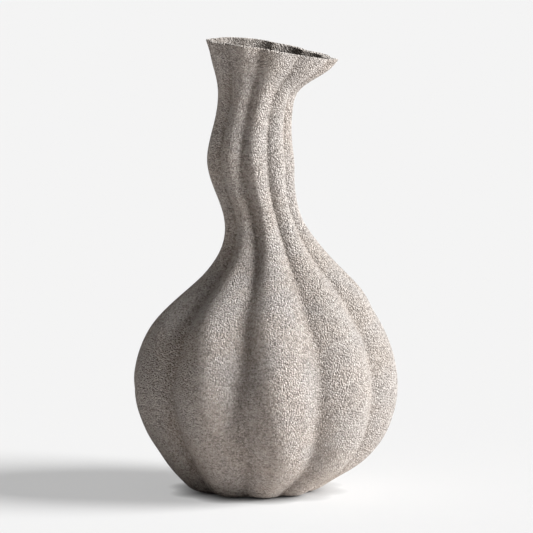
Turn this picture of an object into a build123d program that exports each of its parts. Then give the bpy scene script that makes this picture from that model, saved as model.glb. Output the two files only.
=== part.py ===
from build123d import *

import math
import os
from dataclasses import dataclass, replace

# Fluted gourd vase with a leaning neck and a pouring lip, in millimetres.
# The origin is on the floor under the middle of the bulb, +Z is up and the lip points along +X.

# Named rings of the body, from the foot up: height above the floor, radius over the lobes, and how
# far the middle of the ring leans towards the lip
foot_radius = 63.5
foot_lean = -8.0
bulb_height = 117.0
bulb_radius = 144.5
shoulder_height = 214.0
shoulder_radius = 98.0
shoulder_lean = 10.5
waist_height = 296.0
waist_radius = 42.5
waist_lean = -1.5
swell_height = 353.0
swell_radius = 47.5
swell_lean = -14.5
throat_height = 411.0
throat_radius = 41.0
throat_lean = -10.0
mouth_height = 483.5
mouth_half_width = 62.0
mouth_half_depth = 50.0

# Depth of the flutes between the lobes at each named ring
foot_flute = 9.0
bulb_flute = 16.5
shoulder_flute = 13.0
waist_flute = 6.5
swell_flute = 6.5
throat_flute = 5.0
mouth_flute = 5.0

# Turn of the lobes at each named ring away from their places below, so that the flutes wander
foot_twist = math.radians(1.5)
bulb_twist = math.radians(0.7)
shoulder_twist = math.radians(-6)
waist_twist = math.radians(-2.2)
swell_twist = math.radians(0.5)
throat_twist = math.radians(1.5)
mouth_twist = math.radians(7)

# Pouring lip: how far it reaches past the mouth, how far the rim sinks under it, and how much lower
# the rim is at the front than on the lip's line
lip_reach = 17.0
lip_drop = 20.0
lip_power = 4.5
rim_dip = 1.1

# Lobes round the body: one at first_lobe, all a little wider about wide_side than opposite it
lobe_count = 10
first_lobe = math.radians(-86)
wide_side = math.radians(-146)
lobe_drift = math.radians(5)
groove_softness_share = 0.14

# Wall, rim and floor, and how much of the flutes' depth and of the lip's reach shows on the inner wall
wall = 6.5
rim_thickness = 3.6
rim_bevel = 1.1
floor_thickness = 8.0
inner_flute_share = 0.85
inner_reach_share = 0.6

# Foot ring and the felt pads stuck to it
recess_radius = 42.0
recess_depth = 3.0
recess_draft = 1.5
pad_diameter = 12.0
pad_thickness = 1.5
pad_every = 2

# Rings between the named ones: shares of the rise, of the change of radius, of the change of lean,
# of the change of twist and, at the neck, of the lip
lower_bulb_shares = (
    (0.03, 0.10, -0.15, 0.0),
    (0.09, 0.22, 0.0, 0.0),
    (0.17, 0.37, 0.4, 0.0),
    (0.28, 0.55, 0.9, 0.1),
    (0.41, 0.70, 1.17, 0.5),
    (0.55, 0.83, 1.19, 1.0),
    (0.70, 0.92, 1.12, 1.2),
    (0.85, 0.98, 1.04, 1.2),
)
upper_bulb_shares = (
    (0.20, 0.05, 0.05, 0.0),
    (0.40, 0.17, 0.13, 0.03),
    (0.60, 0.36, 0.28, 0.2),
    (0.80, 0.64, 0.6, 0.62),
)
shoulder_shares = (
    (0.25, 0.37, -0.08, -0.47),
    (0.50, 0.69, 0.09, -0.53),
    (0.75, 0.90, 0.46, -0.05),
)
waist_shares = ((0.33, 0.05, 0.45, 0.8), (0.67, 0.59, 0.83, 1.1))
swell_shares = ((0.33, 0.30, 0.0, -0.3), (0.67, 0.77, 0.39, 0.0))
neck_shares = (
    (0.25, 0.03, 0.21, 0.45, 0.09),
    (0.50, 0.28, 0.49, 0.9, 0.38),
    (0.70, 0.58, 0.74, 1.0, 0.68),
    (0.87, 0.80, 0.91, 1.0, 0.91),
)

# Points along each lobe of a ring, in shares of the lobe from its crest
lobe_point_shares = (-0.5, -0.4, -0.22, 0.0, 0.22, 0.4, 0.5)


@dataclass
class Ring:
    """One level of a wall."""

    height: float
    half_width: float
    half_depth: float
    lean: float
    flute: float
    twist: float
    wall: float
    reach: float = 0.0
    drop: float = 0.0
    dip: float = 0.0


standing = (Align.CENTER, Align.CENTER, Align.MIN)
base_height = pad_thickness
floor_height = base_height + recess_depth + floor_thickness

foot = Ring(base_height, foot_radius, foot_radius, foot_lean, foot_flute, foot_twist, wall)
bulb = Ring(bulb_height, bulb_radius, bulb_radius, 0.0, bulb_flute, bulb_twist, wall)
shoulder = Ring(
    height=shoulder_height,
    half_width=shoulder_radius,
    half_depth=shoulder_radius,
    lean=shoulder_lean,
    flute=shoulder_flute,
    twist=shoulder_twist,
    wall=wall,
)
waist = Ring(waist_height, waist_radius, waist_radius, waist_lean, waist_flute, waist_twist, wall)
swell = Ring(swell_height, swell_radius, swell_radius, swell_lean, swell_flute, swell_twist, wall)
throat = Ring(throat_height, throat_radius, throat_radius, throat_lean, throat_flute, throat_twist, wall)
mouth = Ring(
    height=mouth_height,
    half_width=mouth_half_width,
    half_depth=mouth_half_depth,
    lean=0.0,
    flute=mouth_flute,
    twist=mouth_twist,
    wall=rim_thickness,
    reach=lip_reach,
    drop=lip_drop,
    dip=rim_dip,
)
floor_ring = replace(foot, height=floor_height)


def part_way(start, end, share):
    """Value that lies a share of the way from start to end."""
    return start + (end - start) * share


def ring_between(low, high, rise_share, spread_share, lean_share, twist_share, lip_share=0.0):
    """Ring between two named ones."""
    return Ring(
        height=part_way(low.height, high.height, rise_share),
        half_width=part_way(low.half_width, high.half_width, spread_share),
        half_depth=part_way(low.half_depth, high.half_depth, spread_share),
        lean=part_way(low.lean, high.lean, lean_share),
        flute=part_way(low.flute, high.flute, spread_share),
        twist=part_way(low.twist, high.twist, twist_share),
        wall=part_way(low.wall, high.wall, lip_share),
        reach=part_way(low.reach, high.reach, lip_share),
        drop=part_way(low.drop, high.drop, lip_share),
        dip=part_way(low.dip, high.dip, lip_share),
    )


def outer_rings():
    """All rings of the outer wall, from the foot up."""
    stretches = (
        (foot, bulb, lower_bulb_shares),
        (bulb, shoulder, upper_bulb_shares),
        (shoulder, waist, shoulder_shares),
        (waist, swell, waist_shares),
        (swell, throat, swell_shares),
        (throat, mouth, neck_shares),
    )
    rings = []
    for low, high, shares in stretches:
        rings.append(low)
        rings += [ring_between(low, high, *row) for row in shares]
    return rings + [mouth]


def moved_in(ring, inset, lift):
    """Ring drawn in and lifted by a length."""
    return replace(
        ring,
        height=ring.height + lift,
        half_width=ring.half_width - inset,
        half_depth=ring.half_depth - inset,
    )


def rim_ring(share, lift):
    """Ring a share of the way over the rim from its outer edge to its inner one."""
    reach = part_way(lip_reach, lip_reach * inner_reach_share, share)
    return replace(moved_in(mouth, rim_thickness * share, lift), reach=reach)


def rim_rings():
    """Rings over the rim, bevelled on both sides, from its outer edge to its inner edge."""
    bevel_share = rim_bevel / rim_thickness
    return [mouth, rim_ring(bevel_share, rim_bevel), rim_ring(1 - bevel_share, rim_bevel), rim_ring(1, 0)]


def inner_rings(rings):
    """Rings of the inner wall from the floor up, a wall's thickness square in from the outer wall."""
    inside = [floor_ring]
    for below, ring, above in zip(rings, rings[1:], rings[2:]):
        rise = above.height - below.height
        spread = above.half_width - below.half_width
        slope = math.hypot(rise, spread)
        inner = moved_in(ring, ring.wall * rise / slope, ring.wall * spread / slope)
        if inner.height > floor_height:
            flute = ring.flute * inner_flute_share
            inside.append(replace(inner, flute=flute, reach=ring.reach * inner_reach_share))
    return inside + [rim_rings()[-1]]


def lobe_turn(ring, lobe):
    """Angle from the lip's line of a lobe's crest, or of a place between two crests, at a ring."""
    even_turn = first_lobe + math.tau * lobe / lobe_count
    return even_turn + lobe_drift * math.sin(even_turn - wide_side) + ring.twist


def groove_share(lobe):
    """Share of the flute's depth at a place: none on a lobe's crest, all of it between two lobes."""
    crest = math.hypot(math.cos(math.pi * lobe), groove_softness_share)
    full_crest = math.hypot(1, groove_softness_share)
    return 1 - (crest - groove_softness_share) / (full_crest - groove_softness_share)


def ring_point(ring, lobe):
    """Point of a wall at a ring and a place round it, counted in lobes."""
    turn = lobe_turn(ring, lobe)
    towards_lip = (1 + math.cos(turn)) / 2
    groove = ring.flute * groove_share(lobe)
    return Vector(
        ring.lean + (ring.half_width - groove) * math.cos(turn) + ring.reach * towards_lip**lip_power,
        (ring.half_depth - groove) * math.sin(turn),
        ring.height - ring.drop * towards_lip**2 + ring.dip * math.sin(turn),
    )


def ring_wire(ring):
    """Closed curve round a ring, with one edge for each lobe and a smooth join between two lobes."""
    side_share = lobe_point_shares[1] - lobe_point_shares[0]
    edges = []
    for lobe in range(lobe_count):
        points = [ring_point(ring, lobe + share) for share in lobe_point_shares]
        before = ring_point(ring, lobe + lobe_point_shares[0] - side_share)
        after = ring_point(ring, lobe + lobe_point_shares[-1] + side_share)
        tangents = [points[1] - before, after - points[-2]]
        edges.append(Edge.make_spline(points, tangents, parameters=lobe_point_shares))
    return Wire(edges)


def vase_body():
    """One fired shell: the outer wall, the rim, the inner wall, the floor and the foot ring."""
    outer = [ring_wire(ring) for ring in outer_rings()]
    inner = [ring_wire(ring) for ring in inner_rings(outer_rings())]
    rim = [outer[-1], *[ring_wire(ring) for ring in rim_rings()[1:-1]], inner[-1]]
    walls = [Shell.make_loft(outer), Shell.make_loft(rim, ruled=True), Shell.make_loft(inner)]
    faces = [face for wall in walls for face in wall.faces()]
    shell = Solid(Shell([*faces, Face(outer[0]), Face(inner[0])]))
    recess = Cone(recess_radius, recess_radius - recess_draft, recess_depth, align=standing)
    return shell - Pos(foot_lean, 0, base_height) * recess


def foot_pad(lobe):
    """Round felt pad under one lobe, in the middle of the flat foot ring."""
    ring_middle = (foot_radius + recess_radius) / 2
    turn = lobe_turn(foot, lobe)
    place = Pos(foot_lean + ring_middle * math.cos(turn), ring_middle * math.sin(turn), 0)
    return place * Cylinder(pad_diameter / 2, pad_thickness, align=standing)


os.makedirs("parts", exist_ok=True)
export_step(vase_body(), "parts/vase_body.step")
for number, lobe in enumerate(range(0, lobe_count, pad_every), start=1):
    export_step(foot_pad(lobe), f"parts/foot_pad_{number}.step")
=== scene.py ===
import math
from dataclasses import astuple, dataclass, replace

import bpy
import numpy as np
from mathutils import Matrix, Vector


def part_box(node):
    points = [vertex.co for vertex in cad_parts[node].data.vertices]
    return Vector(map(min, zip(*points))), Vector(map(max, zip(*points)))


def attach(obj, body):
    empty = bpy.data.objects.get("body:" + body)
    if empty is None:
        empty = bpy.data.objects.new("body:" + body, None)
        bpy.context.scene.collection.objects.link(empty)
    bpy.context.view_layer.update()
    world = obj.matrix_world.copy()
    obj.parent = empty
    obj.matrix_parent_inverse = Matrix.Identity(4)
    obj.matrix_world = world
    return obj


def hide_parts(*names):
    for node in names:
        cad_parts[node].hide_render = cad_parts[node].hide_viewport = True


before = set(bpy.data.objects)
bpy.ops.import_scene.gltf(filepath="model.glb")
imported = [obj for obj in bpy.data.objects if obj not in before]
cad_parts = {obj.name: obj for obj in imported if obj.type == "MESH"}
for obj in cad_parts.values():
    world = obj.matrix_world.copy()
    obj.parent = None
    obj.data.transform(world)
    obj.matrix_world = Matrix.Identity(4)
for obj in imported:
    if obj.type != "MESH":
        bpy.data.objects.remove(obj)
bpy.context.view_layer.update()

# Fluted gourd vase of sandy stoneware on five felt pads. Sizes are named in millimetres and laid
# out in metres. The origin is on the floor under the bulb's middle, and the lip points along +X.
mm = 0.001

# Foot, wall and rim
recess_radius = 42.0
recess_depth = 3.0
recess_draft = 1.5
floor_thickness = 8.0
wall = 6.5
rim_thickness = 3.6
rim_bevel = 1.1
edge_round = 1.2

# Places over the rim, as shares of the half turn over it, and how round its edge is, up to 1
rim_turns = (0.16, 0.32, 0.44, 0.56, 0.68, 0.84)
rim_roundness = 0.6

# Lobes round the body: one at first_lobe, all a little wider about wide_side than opposite it
lobe_count = 10
first_lobe = math.radians(-86)
wide_side = math.radians(-146)
lobe_drift = math.radians(5)
groove_softness_share = 0.14
lip_power = 4.5
inner_flute_share = 0.85
inner_reach_share = 0.6

# How finely the visible body is laid out, and how near to each other, in metres, points are welded
columns_per_lobe = 32
outer_levels = 198
inner_levels = 78
weld_distance = 2e-6

# Relief of the clay: slow unevenness left by the hand, and lumps of coarse sand under the skin
hand_wave = 34.0
hand_relief = 0.35
lump_size = 6.5
lump_relief = 0.16

# Skin of the clay, in its material: clouds and patches of tone, grains of sand, the fine roughness
# on them with its share of the height, and how high the relief and the bump stand
cloud_size = 45.0
patch_size = 9.0
grain_size = 1.8
fine_size = 1.1
fine_share = 0.6
relief_height = 1.4
bump_height = 0.5

# Felt pads: how many, how far their cut edges are rounded and frayed, how near the two faces the
# rounding stays, and the hairs of the felt
pad_count = 5
pad_edge_round = 0.35
pad_edge_power = 6
pad_fray = 0.3
pad_fray_size = 1.1
felt_hair_size = 0.9
felt_hair_height = 0.4

# Floor: half its width in metres, and how far from the foot it is darker
floor_half_width = 20.0
contact_reach = 20.0

# Camera: its lens, its place in metres and how many degrees it looks down
camera_lens = 318.06
camera_place = (0.00297, -5.0, 0.86365)
camera_pitch = 7.0888


@dataclass
class Ring:
    """One level of a wall."""

    height: float
    half_width: float
    half_depth: float
    lean: float
    flute: float
    twist: float = 0.0
    wall: float = wall
    reach: float = 0.0
    drop: float = 0.0
    dip: float = 0.0
    inside: float = 0.0


base_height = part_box("vase_body")[0][2] / mm
floor_height = base_height + recess_depth + floor_thickness

# Named rings, from the foot up: height, half width, half depth, lean, depth of the flutes and twist
# in degrees
foot = Ring(base_height, 63.5, 63.5, -8.0, 9.0, 1.5)
bulb = Ring(117.0, 144.5, 144.5, 0.0, 16.5, 0.7)
shoulder = Ring(214.0, 98.0, 98.0, 10.5, 13.0, -6.0)
waist = Ring(296.0, 42.5, 42.5, -1.5, 6.5, -2.2)
swell = Ring(353.0, 47.5, 47.5, -14.5, 6.5, 0.5)
throat = Ring(411.0, 41.0, 41.0, -10.0, 5.0, 1.5)
mouth = Ring(483.5, 62.0, 50.0, 0.0, 5.0, 7.0, rim_thickness, reach=17.0, drop=20.0, dip=1.1)

# Rings between the named ones: shares of the rise, of the change of radius, of the change of lean,
# of the twist and, at the neck, of the lip
stretches = (
    (
        foot,
        bulb,
        (
            (0.03, 0.10, -0.15, 0.0),
            (0.09, 0.22, 0.0, 0.0),
            (0.17, 0.37, 0.4, 0.0),
            (0.28, 0.55, 0.9, 0.1),
            (0.41, 0.70, 1.17, 0.5),
            (0.55, 0.83, 1.19, 1.0),
            (0.70, 0.92, 1.12, 1.2),
            (0.85, 0.98, 1.04, 1.2),
        ),
    ),
    (
        bulb,
        shoulder,
        (
            (0.20, 0.05, 0.05, 0.0),
            (0.40, 0.17, 0.13, 0.03),
            (0.60, 0.36, 0.28, 0.2),
            (0.80, 0.64, 0.6, 0.62),
        ),
    ),
    (
        shoulder,
        waist,
        (
            (0.25, 0.37, -0.08, -0.47),
            (0.50, 0.69, 0.09, -0.53),
            (0.75, 0.90, 0.46, -0.05),
        ),
    ),
    (waist, swell, ((0.33, 0.05, 0.45, 0.8), (0.67, 0.59, 0.83, 1.1))),
    (swell, throat, ((0.33, 0.30, 0.0, -0.3), (0.67, 0.77, 0.39, 0.0))),
    (
        throat,
        mouth,
        (
            (0.25, 0.03, 0.21, 0.45, 0.09),
            (0.50, 0.28, 0.49, 0.9, 0.38),
            (0.70, 0.58, 0.74, 1.0, 0.68),
            (0.87, 0.80, 0.91, 1.0, 0.91),
        ),
    ),
)


def part_way(start, end, share):
    """Value that lies a share of the way from start to end."""
    return start + (end - start) * share


def ring_between(low, high, rise_share, spread_share, lean_share, twist_share, lip_share=0.0):
    """Ring between two named ones."""
    return Ring(
        height=part_way(low.height, high.height, rise_share),
        half_width=part_way(low.half_width, high.half_width, spread_share),
        half_depth=part_way(low.half_depth, high.half_depth, spread_share),
        lean=part_way(low.lean, high.lean, lean_share),
        flute=part_way(low.flute, high.flute, spread_share),
        twist=part_way(low.twist, high.twist, twist_share),
        wall=part_way(low.wall, high.wall, lip_share),
        reach=part_way(low.reach, high.reach, lip_share),
        drop=part_way(low.drop, high.drop, lip_share),
        dip=part_way(low.dip, high.dip, lip_share),
    )


def outer_rings():
    """Rings of the outer wall, from the foot up."""
    rings = []
    for low, high, shares in stretches:
        rings.append(low)
        rings += [ring_between(low, high, *row) for row in shares]
    return rings + [mouth]


def moved_in(ring, inset, lift):
    """Ring drawn in and lifted by a length."""
    return replace(
        ring,
        height=ring.height + lift,
        half_width=ring.half_width - inset,
        half_depth=ring.half_depth - inset,
    )


def inner_rings(rings):
    """Rings of the inner wall, from the floor up, a wall's thickness square in from the outside."""
    inside = [replace(foot, height=floor_height, inside=1.0)]
    for below, ring, above in zip(rings, rings[1:], rings[2:]):
        rise = above.height - below.height
        spread = above.half_width - below.half_width
        slope = math.hypot(rise, spread)
        inner = moved_in(ring, ring.wall * rise / slope, ring.wall * spread / slope)
        if inner.height > floor_height:
            flute = ring.flute * inner_flute_share
            reach = ring.reach * inner_reach_share
            inside.append(replace(inner, flute=flute, reach=reach, inside=1.0))
    return inside + [replace(rim_ring(1, 0), inside=1.0)]


def smooth_rings(rings, count):
    """Evenly spaced rings on the smooth curve through some, worked out as a cubic spline."""
    rows = np.array([astuple(ring) for ring in rings])
    knots = np.append(0, np.cumsum(np.hypot(*np.diff(rows[:, :2], axis=0).T)))
    gaps = np.diff(knots)
    slopes = np.diff(rows, axis=0) / gaps[:, None]
    system = np.eye(len(rows))
    turns = np.zeros_like(rows)
    for row in range(1, len(rows) - 1):
        system[row, row - 1 : row + 2] = gaps[row - 1], 2 * (gaps[row - 1] + gaps[row]), gaps[row]
        turns[row] = 6 * (slopes[row] - slopes[row - 1])
    bends = np.linalg.solve(system, turns)
    places = np.linspace(0, knots[-1], count)
    span = np.clip(np.searchsorted(knots, places, side="right") - 1, 0, len(gaps) - 1)
    gap = gaps[span][:, None]
    past = (places - knots[span])[:, None]
    left = gap - past
    line = (bends[span] * left**3 + bends[span + 1] * past**3) / (6 * gap)
    line += (rows[span] / gap - bends[span] * gap / 6) * left
    line += (rows[span + 1] / gap - bends[span + 1] * gap / 6) * past
    return [Ring(*row) for row in line]


def underside_rings():
    """Rings of the recess and of the flat foot ring, from the middle outwards."""
    top = base_height + recess_depth
    recess_top = recess_radius - recess_draft
    steps = (
        (top, 0.0, 0.0),
        (top, recess_top / 2, 0.0),
        (top, recess_top - edge_round, 0.0),
        (top - edge_round / 3, recess_top - edge_round / 4, 0.0),
        (base_height + edge_round, recess_radius - edge_round / 3, 0.0),
        (base_height + edge_round / 4, recess_radius + edge_round / 4, 0.0),
        (base_height, recess_radius + edge_round, 0.0),
        (base_height, part_way(recess_radius, foot.half_width, 0.5), foot.flute / 3),
        (base_height, foot.half_width - edge_round, foot.flute),
        (base_height + edge_round / 5, foot.half_width - edge_round / 4, foot.flute),
    )
    return [
        Ring(height, radius, radius, foot.lean, flute, foot.twist)
        for height, radius, flute in steps
    ]


def rim_ring(share, lift):
    """Ring a share of the way over the rim from its outer edge to its inner one."""
    reach = part_way(mouth.reach, mouth.reach * inner_reach_share, share)
    return replace(moved_in(mouth, rim_thickness * share, lift), reach=reach)


def rim_rings():
    """Rings over the rounded rim, from its outer edge to its inner edge."""
    rings = []
    for turn in rim_turns:
        cosine = math.cos(math.pi * turn)
        across = -math.copysign(abs(cosine) ** rim_roundness, cosine)
        lift = rim_bevel * math.sin(math.pi * turn) ** rim_roundness
        rings.append(replace(rim_ring((1 + across) / 2, lift), inside=turn))
    return rings


def floor_rings():
    """Rings of the floor inside, from its wall to its middle."""
    steps = (
        (floor_height + edge_round / 4, foot.half_width - edge_round / 2, foot.flute),
        (floor_height, foot.half_width - 2 * edge_round, foot.flute),
        (floor_height, foot.half_width / 2, foot.flute / 4),
        (floor_height, 0.0, 0.0),
    )
    flat = replace(foot, inside=1.0)
    return [
        replace(flat, height=height, half_width=radius, half_depth=radius, flute=flute)
        for height, radius, flute in steps
    ]


def body_levels():
    """All levels of the vase on one path: under the foot, up outside, over the rim, down inside."""
    outer = smooth_rings(outer_rings(), outer_levels)[1:]
    inner = smooth_rings(inner_rings(outer_rings()), inner_levels)[:0:-1]
    return [*underside_rings(), *outer, *rim_rings(), *inner, *floor_rings()]


class Nodes:
    """Adds nodes to a tree. Sockets are fed by name or place with a value or a node's output."""

    def __init__(self, tree):
        self.tree = tree

    def add(self, kind, inputs=None, **settings):
        """A new node with its settings and inputs."""
        node = self.tree.nodes.new(kind)
        for name, value in settings.items():
            setattr(node, name, value)
        for key, value in (inputs or {}).items():
            if isinstance(value, bpy.types.NodeSocket):
                self.tree.links.new(value, node.inputs[key])
            else:
                node.inputs[key].default_value = value
        return node

    def math(self, operation, *values):
        """Output of one sum."""
        return self.add("ShaderNodeMath", dict(enumerate(values)), operation=operation).outputs[0]

    def vector(self, operation, inputs):
        """Output of one sum of vectors."""
        return self.add("ShaderNodeVectorMath", inputs, operation=operation).outputs[0]

    def moved(self, geometry, socket, value):
        """Geometry whose points take a new Position or move by an Offset."""
        return self.add("GeometryNodeSetPosition", {"Geometry": geometry, socket: value}).outputs[0]

    def give_out(self, geometry, smooth, material):
        """Shades a mesh smooth or not, sets its material and ends the tree with it."""
        shaded = self.add("GeometryNodeSetShadeSmooth", {0: geometry, "Shade Smooth": smooth})
        real = self.add("GeometryNodeRealizeInstances", {0: shaded.outputs[0]})
        dressed = self.add("GeometryNodeSetMaterial", {0: real.outputs[0], "Material": material})
        self.add("NodeGroupOutput", {0: dressed.outputs[0]})

    def ramp(self, value, low, high):
        """Share from 0 at low to 1 at high, eased at both ends."""
        node = self.add(
            "ShaderNodeMapRange",
            {"Value": value, "From Min": low, "From Max": high},
            interpolation_type="SMOOTHSTEP",
        )
        return node.outputs["Result"]

    def mix(self, share, low, high):
        """Colour a share of the way from low to high."""
        node = self.add("ShaderNodeMix", {0: share, 6: low, 7: high}, data_type="RGBA")
        return node.outputs[2]

    def noise(self, vector, size, detail=2.0, roughness=0.5):
        """Cloudy noise whose patches are about one size across, in metres."""
        node = self.add(
            "ShaderNodeTexNoise",
            {"Vector": vector, "Scale": 1 / size, "Detail": detail, "Roughness": roughness},
        )
        return node.outputs["Fac"]

    def grains(self, vector, size):
        """Packed grains of one size, in metres: how far from a grain's middle, and its chance."""
        packing = {"Vector": vector, "Scale": 1 / size, "Randomness": 1.0}
        node = self.add("ShaderNodeTexVoronoi", packing)
        chance = self.add("ShaderNodeSeparateColor", {0: node.outputs["Color"]}).outputs[0]
        return node.outputs["Distance"], chance


def named_inputs(tree, sizes):
    """Group input node of a tree with one number input for each size."""
    tree.interface.new_socket("Geometry", in_out="INPUT", socket_type="NodeSocketGeometry")
    tree.interface.new_socket("Geometry", in_out="OUTPUT", socket_type="NodeSocketGeometry")
    for name, value in sizes.items():
        whole = isinstance(value, int)
        kind = "NodeSocketInt" if whole else "NodeSocketFloat"
        tree.interface.new_socket(name, in_out="INPUT", socket_type=kind).default_value = value
    return tree.nodes.new("NodeGroupInput")


def body_tree(material):
    """Geometry Nodes tree that lays the lobed body on its levels and roughens the clay."""
    tree = bpy.data.node_groups.new("fluted body", "GeometryNodeTree")
    sizes = {
        "Lobes": lobe_count,
        "Columns per Lobe": columns_per_lobe,
        "First Lobe": first_lobe,
        "Wide Side": wide_side,
        "Lobe Drift": lobe_drift,
        "Groove Softness": groove_softness_share,
        "Lip Power": lip_power,
        "Hand Wave": hand_wave * mm,
        "Hand Relief": hand_relief * mm,
        "Lump Size": lump_size * mm,
        "Lump Relief": lump_relief * mm,
    }
    size = named_inputs(tree, sizes).outputs
    n = Nodes(tree)

    levels = n.add("GeometryNodeAttributeDomainSize", {0: size["Geometry"]}).outputs["Point Count"]
    columns = n.math("MULTIPLY", size["Lobes"], size["Columns per Lobe"])
    across = n.math("ADD", columns, 1)
    grid = n.add("GeometryNodeMeshGrid", {"Vertices X": levels, "Vertices Y": across})
    index = n.add("GeometryNodeInputIndex").outputs[0]
    level = n.math("FLOOR", n.math("DIVIDE", n.math("ADD", index, 0.5), across))
    column = n.math("SUBTRACT", index, n.math("MULTIPLY", level, across))
    lobe = n.math("DIVIDE", column, size["Columns per Lobe"])

    def at_level(name):
        """Value of a ring's measure at this point's level."""
        measure = n.add("GeometryNodeInputNamedAttribute", {"Name": name}, data_type="FLOAT")
        inputs = {0: size["Geometry"], 1: measure.outputs[0], 2: level}
        return n.add("GeometryNodeSampleIndex", inputs).outputs[0]

    way_round = n.math("DIVIDE", lobe, size["Lobes"])
    even_turn = n.math("MULTIPLY_ADD", way_round, math.tau, size["First Lobe"])
    sway = n.math("SINE", n.math("SUBTRACT", even_turn, size["Wide Side"]))
    swayed = n.math("MULTIPLY_ADD", sway, size["Lobe Drift"], even_turn)
    turn = n.math("ADD", swayed, at_level("twist"))
    cosine = n.math("COSINE", turn)
    sine = n.math("SINE", turn)

    softness = n.math("POWER", size["Groove Softness"], 2)
    wave = n.math("POWER", n.math("COSINE", n.math("MULTIPLY", lobe, math.pi)), 2)
    reached = n.math("SQRT", n.math("ADD", wave, softness))
    crest = n.math("SUBTRACT", reached, size["Groove Softness"])
    full_reach = n.math("SQRT", n.math("ADD", softness, 1))
    full_crest = n.math("SUBTRACT", full_reach, size["Groove Softness"])
    groove = n.math("SUBTRACT", 1, n.math("DIVIDE", crest, full_crest))
    depth = n.math("MULTIPLY", at_level("flute"), groove)

    towards_lip = n.math("MULTIPLY_ADD", cosine, 0.5, 0.5)
    lip = n.math("MULTIPLY", at_level("reach"), n.math("POWER", towards_lip, size["Lip Power"]))
    fall = n.math("MULTIPLY", at_level("drop"), n.math("POWER", towards_lip, 2))
    width = n.math("SUBTRACT", at_level("half_width"), depth)
    x = n.math("ADD", n.math("MULTIPLY_ADD", width, cosine, at_level("lean")), lip)
    y = n.math("MULTIPLY", n.math("SUBTRACT", at_level("half_depth"), depth), sine)
    z = n.math("SUBTRACT", n.math("MULTIPLY_ADD", at_level("dip"), sine, at_level("height")), fall)
    place = n.add("ShaderNodeCombineXYZ", {"X": x, "Y": y, "Z": z}).outputs[0]

    body = grid.outputs["Mesh"]
    for name, value in (("groove", groove), ("inside", at_level("inside"))):
        kept = n.add(
            "GeometryNodeStoreNamedAttribute",
            {"Geometry": body, "Name": name, "Value": value},
            data_type="FLOAT",
            domain="POINT",
        )
        body = kept.outputs[0]
    body = n.moved(body, "Position", place)
    welded = n.add("GeometryNodeMergeByDistance", {"Geometry": body, "Distance": weld_distance})

    position = n.add("GeometryNodeInputPosition").outputs[0]

    def below_top(across):
        """How far the skin lies under the top of slow noise whose swells are one size across."""
        scale = n.math("DIVIDE", 1, across)
        noise = n.add("ShaderNodeTexNoise", {"Vector": position, "Scale": scale, "Detail": 1.0})
        return n.math("SUBTRACT", noise.outputs["Fac"], 1)

    lumps = n.math("MULTIPLY", below_top(size["Lump Size"]), size["Lump Relief"])
    sunk = n.math("MULTIPLY_ADD", below_top(size["Hand Wave"]), size["Hand Relief"], lumps)
    normal = n.add("GeometryNodeInputNormal").outputs[0]
    inwards = n.vector("SCALE", {0: normal, "Scale": sunk})
    n.give_out(n.moved(welded.outputs[0], "Offset", inwards), True, material)
    return tree


def pad_tree(material):
    """Geometry Nodes tree of a round felt pad, soft and a little frayed at its cut edge."""
    tree = bpy.data.node_groups.new("felt pad", "GeometryNodeTree")
    sizes = {
        "Middle X": 0.0,
        "Middle Y": 0.0,
        "Radius": 6.0 * mm,
        "Thickness": 1.5 * mm,
        "Edge Round": pad_edge_round * mm,
        "Fray": pad_fray * mm,
        "Fray Size": pad_fray_size * mm,
    }
    size = named_inputs(tree, sizes).outputs
    n = Nodes(tree)
    disc = n.add(
        "GeometryNodeMeshCylinder",
        {
            "Vertices": 96,
            "Side Segments": 8,
            "Fill Segments": 12,
            "Radius": size["Radius"],
            "Depth": size["Thickness"],
        },
    )
    half = n.math("MULTIPLY", size["Thickness"], 0.5)
    centre = {"X": size["Middle X"], "Y": size["Middle Y"], "Z": half}
    middle = n.add("ShaderNodeCombineXYZ", centre).outputs[0]
    placed = n.moved(disc.outputs["Mesh"], "Offset", middle)

    position = n.add("GeometryNodeInputPosition").outputs[0]
    from_middle = n.vector("SUBTRACT", {0: position, 1: middle})
    flat = n.vector("MULTIPLY", {0: from_middle, 1: (1, 1, 0)})
    rise = n.add("ShaderNodeSeparateXYZ", {0: from_middle}).outputs["Z"]
    near_face = n.math("POWER", n.math("ABSOLUTE", n.math("DIVIDE", rise, half)), pad_edge_power)
    hair_scale = n.math("DIVIDE", 1, size["Fray Size"])
    hairs = n.add("ShaderNodeTexNoise", {"Vector": position, "Scale": hair_scale}).outputs["Fac"]
    frayed = n.math("MULTIPLY", hairs, size["Fray"])
    drawn = n.math("MULTIPLY_ADD", near_face, size["Edge Round"], frayed)
    share = n.math("DIVIDE", n.math("MULTIPLY", drawn, -1), size["Radius"])
    inwards = n.vector("SCALE", {0: flat, "Scale": share})
    n.give_out(n.moved(placed, "Offset", inwards), False, material)
    return tree


def plain_mesh(piece, tree, sizes=None):
    """Runs a tree on a piece and keeps the result as its own mesh."""
    modifier = piece.modifiers.new(tree.name, "NODES")
    modifier.node_group = tree
    for item in tree.interface.items_tree:
        if sizes and item.item_type == "SOCKET" and item.name in sizes:
            modifier[item.identifier] = sizes[item.name]
    graph = bpy.context.evaluated_depsgraph_get()
    made = bpy.data.meshes.new_from_object(piece.evaluated_get(graph))
    made.name = piece.name
    piece.modifiers.remove(modifier)
    piece.data = made


def new_piece(name, mesh):
    """Object that shows a mesh and rides on the part."""
    piece = bpy.data.objects.new(name, mesh)
    bpy.context.scene.collection.objects.link(piece)
    return piece


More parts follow.
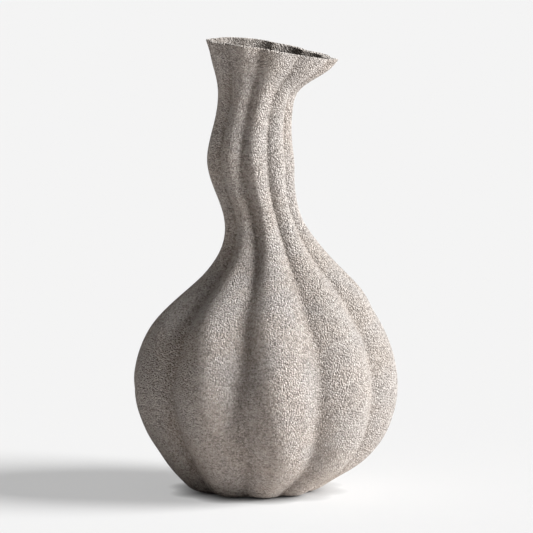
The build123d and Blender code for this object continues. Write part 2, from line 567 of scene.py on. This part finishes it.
def vase_shell(material):
    """The fired body: a string of points, one for each level, that a tree turns into the walls."""
    levels = body_levels()
    mesh = bpy.data.meshes.new("levels")
    mesh.from_pydata([(0, 0, ring.height * mm) for ring in levels], [], [])
    lengths = ("height", "half_width", "half_depth", "lean", "flute", "reach", "drop", "dip")
    units = {**dict.fromkeys(lengths, mm), "twist": math.radians(1), "inside": 1}
    for name, unit in units.items():
        measure = mesh.attributes.new(name, "FLOAT", "POINT")
        measure.data.foreach_set("value", [getattr(ring, name) * unit for ring in levels])
    piece = new_piece("fired_stoneware_body", mesh)
    plain_mesh(piece, body_tree(material))
    return piece


def felt_pad(number, tree):
    """One pad in the space that its solid holds."""
    low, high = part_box(f"foot_pad_{number}")
    piece = new_piece(f"felt_pad_{number}", bpy.data.meshes.new("pad"))
    sizes = {
        "Middle X": (low[0] + high[0]) / 2,
        "Middle Y": (low[1] + high[1]) / 2,
        "Radius": (high[0] - low[0]) / 2,
        "Thickness": high[2] - low[2],
    }
    plain_mesh(piece, tree, sizes)
    return piece


def colour(red, green, blue):
    """Colour of a chip, 0 to 255, as the light that it reflects."""
    shares = [value / 255 for value in (red, green, blue)]
    return [((share + 0.055) / 1.055) ** 2.4 for share in shares] + [1]


def new_material(name):
    """Material with its nodes, its shader and object coordinates ready."""
    material = bpy.data.materials.new(name)
    material.use_nodes = True
    nodes = Nodes(material.node_tree)
    shader = material.node_tree.nodes["Principled BSDF"]
    place = nodes.add("ShaderNodeTexCoord").outputs["Object"]
    return material, nodes, shader, place


def sandy_stoneware():
    """Unglazed taupe clay full of pale and dark sand that stands up from the skin."""
    material, n, shader, place = new_material("sandy stoneware")
    clay = colour(164, 159, 155)
    warm_clay = colour(167, 159, 152)
    pale_sand = colour(214, 209, 204)
    dark_sand = colour(82, 76, 71)
    # Darker colour for dust and painted shade in the pits between the grains
    pit_dust_and_shade = colour(112, 105, 99)
    # Darker colour for patches at random and for painted shade in the grooves
    mottle_and_groove_shade = colour(118, 109, 101)
    # Paler colour for the crests and for a painted highlight on the rim's edge
    pale_crest_and_rim_highlight = colour(196, 191, 185)
    # Darker colour for painted shade inside the vase
    painted_inner_shade = colour(104, 96, 89)

    groove = n.add("ShaderNodeAttribute", attribute_name="groove").outputs["Fac"]
    inside = n.add("ShaderNodeAttribute", attribute_name="inside").outputs["Fac"]
    on_rim = n.math("MULTIPLY", n.ramp(inside, 0.05, 0.4), n.ramp(inside, 0.95, 0.6))
    clouds = n.noise(place, cloud_size * mm, detail=3.0)
    patches = n.noise(place, patch_size * mm, detail=2.0)
    away, chance = n.grains(place, grain_size * mm)
    fine = n.noise(place, fine_size * mm, detail=1.0, roughness=0.6)

    # Colours laid over the clay in turn: each with its share where it is fullest, and where it lies
    layers = (
        (mottle_and_groove_shade, 0.14, n.ramp(patches, 0.45, 0.7)),
        # Painted shade in the grooves, fullest at each groove's bottom
        (mottle_and_groove_shade, 0.36, n.ramp(groove, 0.55, 1.0)),
        # Paler towards the crests of the lobes
        (pale_crest_and_rim_highlight, 0.12, n.ramp(groove, 0.25, 0.0)),
        # Painted highlight along the edge of the rim
        (pale_crest_and_rim_highlight, 0.5, on_rim),
        # Painted shade inside the vase, darker deeper in
        (painted_inner_shade, 0.55, n.ramp(inside, 0.7, 1.0)),
        # Dust and painted shade in the pits between the grains
        (pit_dust_and_shade, 0.3, n.ramp(away, 0.45, 0.85)),
        (pale_sand, 0.3, n.ramp(chance, 0.6, 0.9)),
        (dark_sand, 0.42, n.ramp(chance, 0.35, 0.1)),
    )
    tone = n.mix(n.ramp(clouds, 0.35, 0.65), clay, warm_clay)
    for paint, share, where in layers:
        tone = n.mix(n.math("MULTIPLY", where, share), tone, paint)
    n.tree.links.new(tone, shader.inputs["Base Color"])
    shader.inputs["Roughness"].default_value = 0.92
    shader.inputs["Specular IOR Level"].default_value = 0.25

    height = n.math("MULTIPLY_ADD", away, -1.0, n.math("MULTIPLY", fine, fine_share))
    raised = {"Strength": 1.0, "Distance": bump_height * mm, "Height": height}
    bump = n.add("ShaderNodeBump", raised).outputs[0]
    n.tree.links.new(bump, shader.inputs["Normal"])
    displaced = {"Height": height, "Midlevel": 0.0, "Scale": relief_height * mm}
    relief = n.add("ShaderNodeDisplacement", displaced).outputs[0]
    n.tree.links.new(relief, n.tree.nodes["Material Output"].inputs["Displacement"])
    return material


def pressed_felt():
    """Grey felt of matted hairs."""
    material, n, shader, place = new_material("pressed felt")
    dark_wool = colour(92, 88, 84)
    pale_wool = colour(142, 137, 131)
    hairs = n.noise(place, felt_hair_size * mm, detail=4.0, roughness=0.7)
    tone = n.mix(n.ramp(hairs, 0.35, 0.68), dark_wool, pale_wool)
    n.tree.links.new(tone, shader.inputs["Base Color"])
    shader.inputs["Roughness"].default_value = 1.0
    shader.inputs["Sheen Weight"].default_value = 0.3
    raised = {"Strength": 0.7, "Distance": felt_hair_height * mm, "Height": hairs}
    bump = n.add("ShaderNodeBump", raised).outputs[0]
    n.tree.links.new(bump, shader.inputs["Normal"])
    return material


def floor_paper(glow, shown_tone, lighting_tone):
    """Pale paper: to the camera as bright as a lit backdrop but darker at the foot, and warmer
    where it throws light back."""
    material, n, shader, _ = new_material("floor paper")
    seen = n.add("ShaderNodeLightPath").outputs["Is Camera Ray"]
    tone = n.mix(seen, [*lighting_tone, 1], [shown_tone] * 3 + [1])
    n.tree.links.new(tone, shader.inputs["Base Color"])
    open_sky = n.add("ShaderNodeAmbientOcclusion", {"Distance": contact_reach * mm}).outputs["AO"]
    strength = n.math("MULTIPLY", n.math("MULTIPLY", seen, glow), open_sky)
    n.tree.links.new(strength, shader.inputs["Emission Strength"])
    shader.inputs["Emission Color"].default_value = (1, 1, 1, 1)
    shader.inputs["Roughness"].default_value = 1.0
    shader.inputs["Specular IOR Level"].default_value = 0.0
    return material


def lay_floor():
    """Wide pale floor under the pads."""
    half = floor_half_width
    corners = [(-half, -half, 0), (half, -half, 0), (half, half, 0), (-half, half, 0)]
    mesh = bpy.data.meshes.new("floor")
    mesh.from_pydata(corners, [], [(0, 1, 2, 3)])
    floor = new_piece("floor", mesh)
    paper = floor_paper(glow=0.449, shown_tone=0.338, lighting_tone=(0.84, 0.79, 0.76))
    mesh.materials.append(paper)


def hang_lamp(name, azimuth, elevation, strength, spread):
    """Distant soft lamp. Azimuth is measured from the camera's side towards the right."""
    lamp = bpy.data.lights.new(name, "SUN")
    lamp.energy = strength
    lamp.angle = math.radians(spread)
    holder = bpy.data.objects.new(name, lamp)
    holder.rotation_euler = (math.radians(90 - elevation), 0, math.radians(azimuth))
    bpy.context.scene.collection.objects.link(holder)


def light_room(fill, fill_tone, backdrop):
    """Even fill light, and a pale backdrop where the camera, gloss or glass sees it."""
    world = bpy.data.worlds.new("studio")
    world.use_nodes = True
    bpy.context.scene.world = world
    n = Nodes(world.node_tree)
    background = world.node_tree.nodes["Background"]
    seen = n.add("ShaderNodeLightPath")
    by_gloss = seen.outputs["Is Glossy Ray"]
    by_mirror = n.math("MAXIMUM", by_gloss, seen.outputs["Is Transmission Ray"])
    shown = n.math("MAXIMUM", seen.outputs["Is Camera Ray"], by_mirror)
    strength = n.math("MULTIPLY_ADD", shown, backdrop - fill, fill)
    n.tree.links.new(strength, background.inputs["Strength"])
    tone = n.mix(shown, [*fill_tone, 1], (1, 1, 1, 1))
    n.tree.links.new(tone, background.inputs["Color"])


def set_camera():
    """Long lens in front of the vase that looks a little down on it."""
    camera = bpy.data.cameras.new("camera")
    camera.lens = camera_lens
    camera.sensor_width = 36.0
    camera.clip_end = 100.0
    holder = bpy.data.objects.new("camera", camera)
    holder.location = camera_place
    holder.rotation_euler = (math.radians(90 - camera_pitch), 0, 0)
    bpy.context.scene.collection.objects.link(holder)
    bpy.context.scene.camera = holder


def dress_vase():
    """The body and its pads in their finishes."""
    body = vase_shell(sandy_stoneware())
    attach(body, "root")
    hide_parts("vase_body")
    tree = pad_tree(pressed_felt())
    for number in range(1, pad_count + 1):
        pad = felt_pad(number, tree)
        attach(pad, "root")
        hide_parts(f"foot_pad_{number}")


set_camera()
dress_vase()
lay_floor()
hang_lamp("key", azimuth=82, elevation=27, strength=8.8, spread=32)
hang_lamp("overhead", azimuth=0, elevation=84, strength=0.2, spread=80)
light_room(fill=0.014, fill_tone=(1, 0.74, 0.64), backdrop=0.9)

bpy.context.scene.view_settings.view_transform = "Standard"
